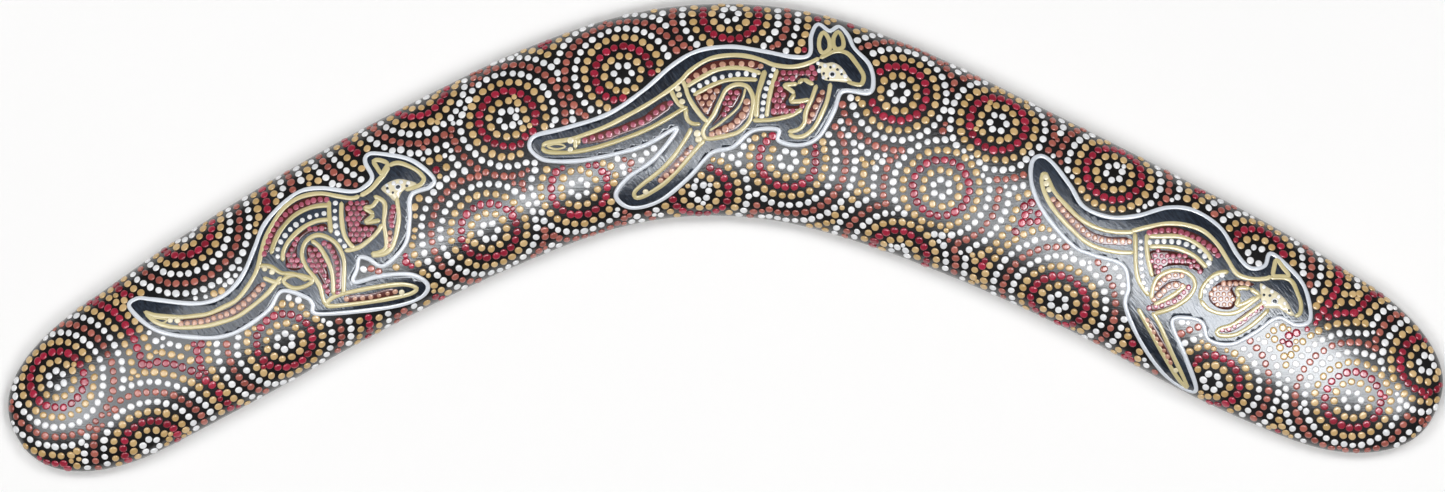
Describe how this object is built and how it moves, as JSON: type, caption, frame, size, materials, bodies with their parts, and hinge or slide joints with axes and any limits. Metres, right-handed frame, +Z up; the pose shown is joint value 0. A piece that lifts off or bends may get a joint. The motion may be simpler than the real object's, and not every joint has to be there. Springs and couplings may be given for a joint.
{
  "type": "boomerang",
  "caption": "V-shaped wooden throwing stick with a flat back, a domed front and rounded tips, painted with rings of raised dots and kangaroos under clear varnish.",
  "frame": {"origin": "on the flat back face, in the middle of the elbow", "axes": "+Z up out of the domed front, +X along the span from the left tip to the right tip, +Y towards the outside of the elbow"},
  "size_m": [0.5013, 0.1632, 0.0187],
  "materials": {
    "veneer_long": "satin",
    "veneer_cross": "satin",
    "ground_paint": "gloss",
    "figure_paint": "gloss",
    "white_paint": "gloss",
    "ochre_paint": "gloss",
    "crimson_paint": "gloss",
    "terracotta_paint": "gloss",
    "cream_paint": "gloss"
  },
  "bodies": {
    "root": {"ply_1": "veneer_long", "ply_2": "veneer_cross", "ply_3": "veneer_long", "ply_4": "veneer_cross", "ply_5": "veneer_long", "ply_6": "veneer_cross", "ply_7": "veneer_long", "ply_8": "veneer_cross", "ply_9": "veneer_long", "ground_coat": "ground_paint", "kangaroo_left": "figure_paint", "kangaroo_middle": "figure_paint", "kangaroo_right": "figure_paint"}
  },
  "joints": []
}
